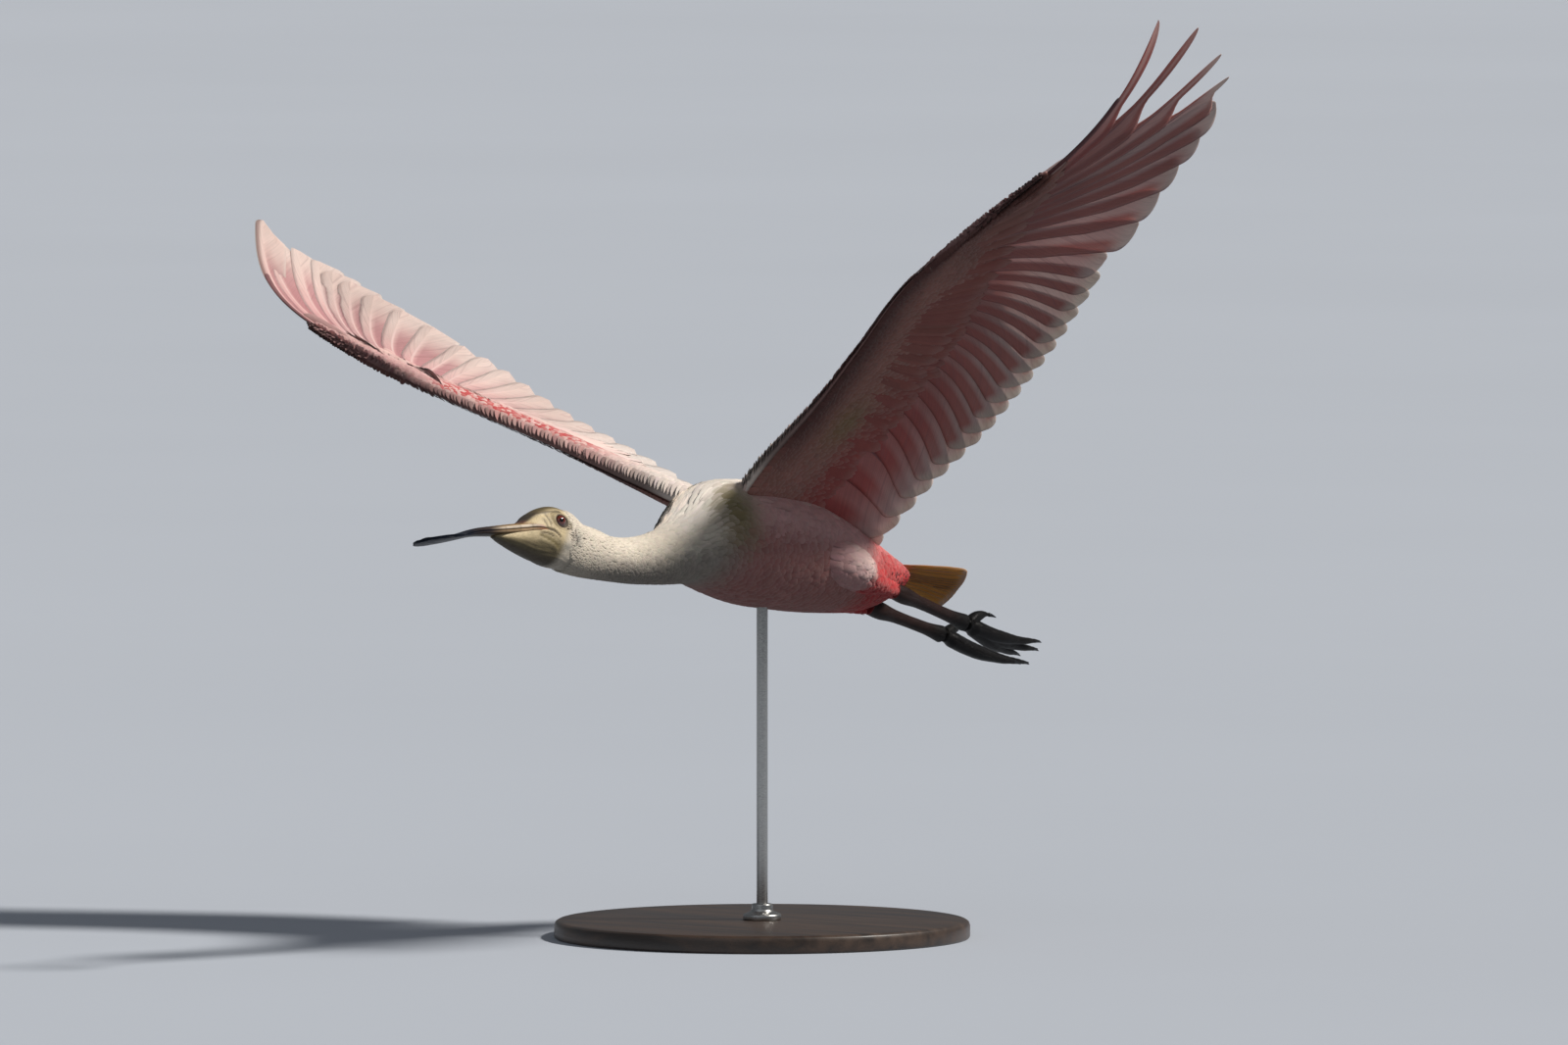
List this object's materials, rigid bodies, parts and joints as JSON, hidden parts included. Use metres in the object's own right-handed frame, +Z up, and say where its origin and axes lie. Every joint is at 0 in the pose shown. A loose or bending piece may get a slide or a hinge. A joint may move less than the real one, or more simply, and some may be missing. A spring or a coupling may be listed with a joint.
{
  "type": "roseate spoonbill",
  "caption": "Life-size still model of a roseate spoonbill in flight, wings raised and legs trailing, held by an upright rod on a flat round base.",
  "frame": {"origin": "middle of the underside of the stand's round base, straight below the point where the rod holds the bird", "axes": "+Z up; -Y is the way the bird's bill points, +X its left side, before the bird banks 21 degrees so that its bill rises and its right wing dips"},
  "size_m": [1.0079, 0.8618, 0.8259],
  "materials": {
    "bare_skin": "bare buff-olive skin of the head, finely wrinkled, satin",
    "bill_horn": "horn, golden-buff and furrowed at the base, slate towards the spatula, satin sheen",
    "eye": "wet and glossy, dark red iris round a black pupil",
    "neck_feathers": "short dense white feathers tinged cream and pink, matte",
    "body_feathers": "soft pink feathers, carmine on the flanks and rump, matte",
    "wing_coverts": "overlapping pink feathers with carmine streaks on the shoulder, matte",
    "flight_feathers": "pink vanes with paler edges and dark shafts, faint silk sheen",
    "tail_feathers": "ochre-orange vanes with brown streaks, matte",
    "leg_scales": "dark red-brown to black scaled skin, satin with wet highlights",
    "stand_wood": "plain turned disc with a bevelled rim, dark satin lacquer",
    "stand_steel": "plain rod and collar, brushed"
  },
  "bodies": {
    "root": {"head": "bare_skin", "bill_upper": "bill_horn", "bill_lower": "bill_horn", "eye_left": "eye", "eye_right": "eye", "neck_upper": "neck_feathers", "neck_lower": "neck_feathers", "trunk": "body_feathers", "tail": "tail_feathers", "stand_base": "stand_wood", "stand_collar": "stand_steel", "stand_rod": "stand_steel", "thigh_left": "body_feathers", "shank_left": "leg_scales", "foot_left": "leg_scales", "wing_arm_left": "wing_coverts", "wing_hand_left": "wing_coverts", "wing_primaries_left": "flight_feathers", "wing_secondaries_left": "flight_feathers", "thigh_right": "body_feathers", "shank_right": "leg_scales", "foot_right": "leg_scales", "wing_arm_right": "wing_coverts", "wing_hand_right": "wing_coverts", "wing_primaries_right": "flight_feathers", "wing_secondaries_right": "flight_feathers"}
  },
  "joints": []
}
